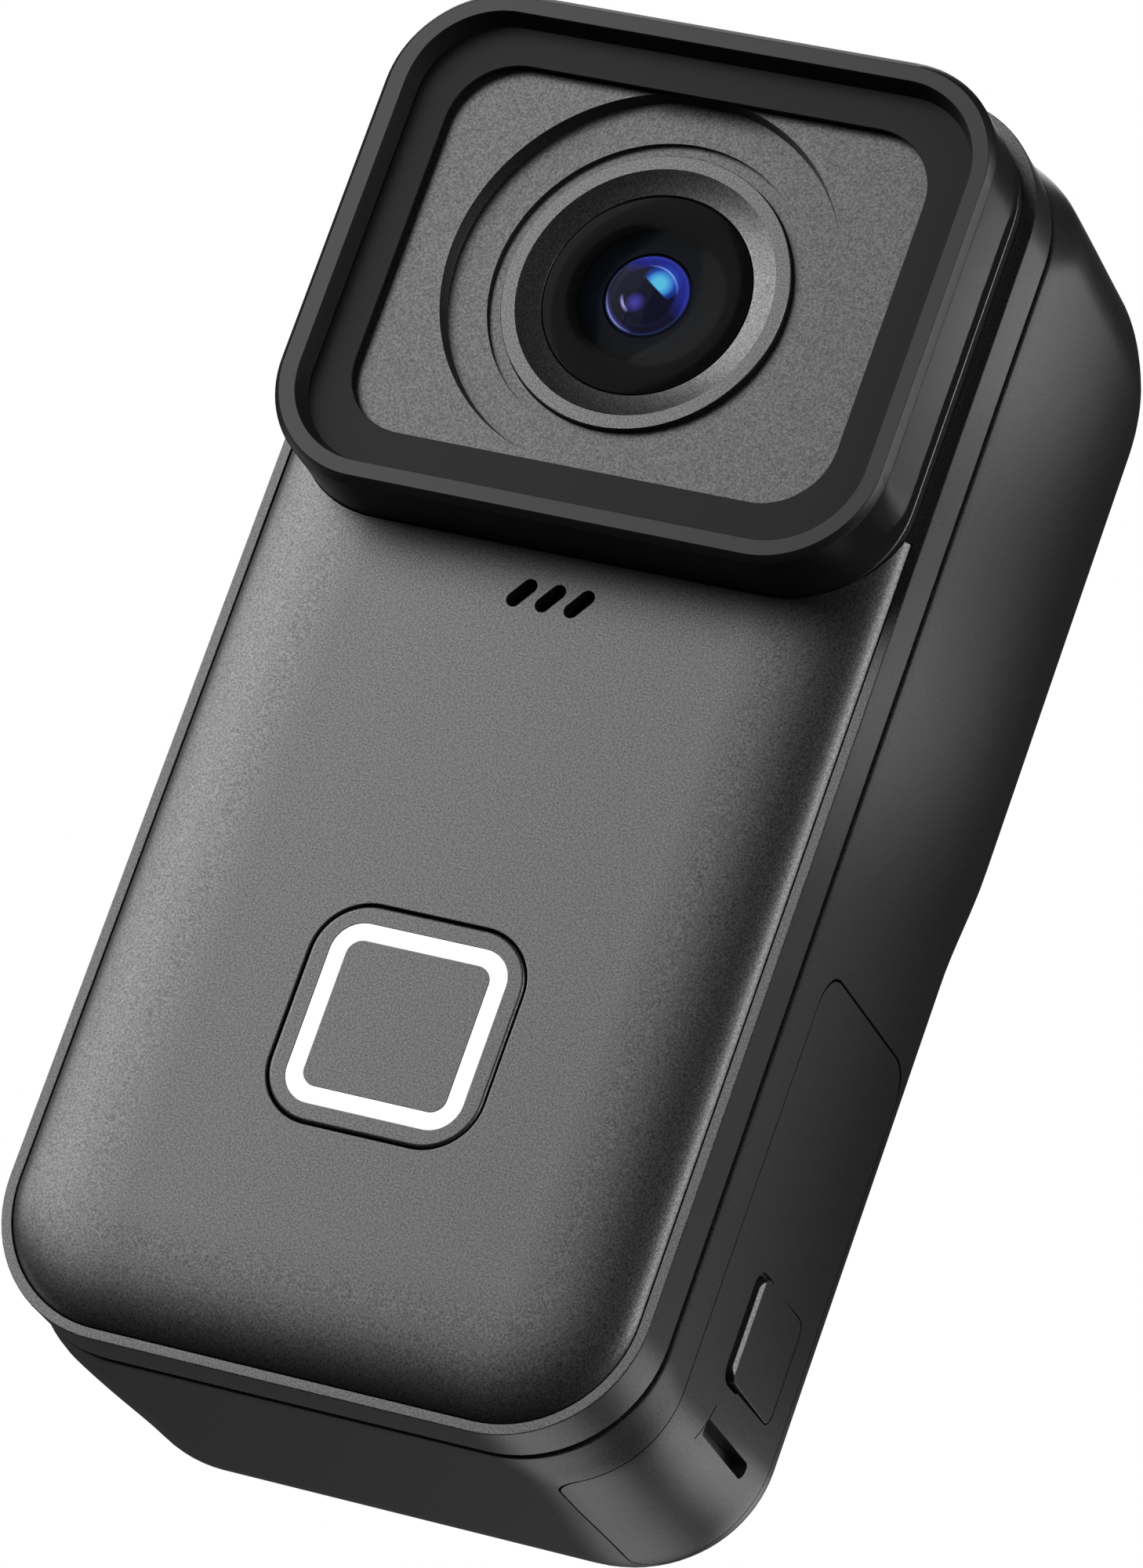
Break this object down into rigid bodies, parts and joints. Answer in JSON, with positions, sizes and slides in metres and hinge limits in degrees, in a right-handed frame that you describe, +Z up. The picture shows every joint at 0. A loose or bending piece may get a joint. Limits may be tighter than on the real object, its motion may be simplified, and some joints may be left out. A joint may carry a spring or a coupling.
{
  "type": "action camera",
  "caption": "Upright pocket action camera with a square lens block under a pull-off guard, a framed record button, a stepped rear shell and a side battery door.",
  "frame": {"origin": "centre of the flat base, halfway through the overall depth", "axes": "+Z up along the tall body, -Y out of the lens (the front), +X towards the side with the battery door"},
  "size_m": [0.0434, 0.0376, 0.0895],
  "materials": {
    "shell": "fine satin grain, dark grey",
    "panel": "fine satin grain, mid grey",
    "guard": "satin black",
    "black_glass": "polished black",
    "coated_glass": "polished with a blue-violet coating",
    "clear_glass": "polished, clear",
    "light": "smooth white light guide",
    "rubber": "matt black",
    "steel": "satin",
    "aluminium": "satin",
    "contacts": "plated",
    "board": "green solder mask",
    "inner_plastic": "moulded black",
    "battery_wrap": "smooth wrap"
  },
  "bodies": {
    "camera": {"front_frame": "shell", "front_panel": "panel", "mic_mesh": "steel", "microphone": "steel", "record_button_seal": "rubber", "record_switch": "inner_plastic", "button_board": "board", "case_screw_1": "steel", "case_screw_2": "steel", "case_screw_3": "steel", "case_screw_4": "steel", "lens_block": "panel", "lens_bezel": "panel", "lens_face_ring": "black_glass", "lens_front_element": "coated_glass", "lens_barrel": "inner_plastic", "lens_rear_element": "coated_glass", "image_sensor": "black_glass", "sensor_board": "board", "guard_seal": "rubber", "rear_shell": "shell", "body_seal": "rubber", "screen_glass": "black_glass", "display_module": "inner_plastic", "power_switch": "inner_plastic", "main_board": "board", "heat_spreader": "aluminium", "battery_bay": "inner_plastic", "battery_contacts": "contacts", "battery": "battery_wrap", "memory_card_socket": "steel", "memory_card": "inner_plastic", "usb_socket": "steel", "door_hinge_pin": "steel"},
    "record_button": {"record_button_cap": "panel", "record_light_ring": "light"},
    "lens_guard": {"guard_frame": "guard", "guard_mask": "guard", "guard_window": "clear_glass"},
    "power_key": {"power_button": "shell"},
    "door": {"battery_door": "shell", "door_seal": "rubber", "latch_spring": "steel"},
    "latch": {"door_latch": "shell"}
  },
  "joints": [
    {"name": "record_press", "type": "slide", "parent": "camera", "child": "record_button", "axis": [0, 1, 0], "range_m": [0, 0.0005], "stiffness_N_per_m": 800},
    {"name": "guard_pull", "type": "slide", "parent": "camera", "child": "lens_guard", "axis": [0, -1, 0], "range_m": [0, 0.01]},
    {"name": "power_press", "type": "slide", "parent": "camera", "child": "power_key", "axis": [1, 0, 0], "range_m": [0, 0.0005], "stiffness_N_per_m": 800},
    {"name": "door_hinge", "type": "hinge", "parent": "camera", "child": "door", "pos_m": [0.0209, 0, 0.03298], "axis": [0, -1, 0], "range_deg": [0, 100]},
    {"name": "latch_press", "type": "slide", "parent": "door", "child": "latch", "axis": [-1, 0, 0], "range_m": [0, 0.0006], "stiffness_N_per_m": 400}
  ]
}
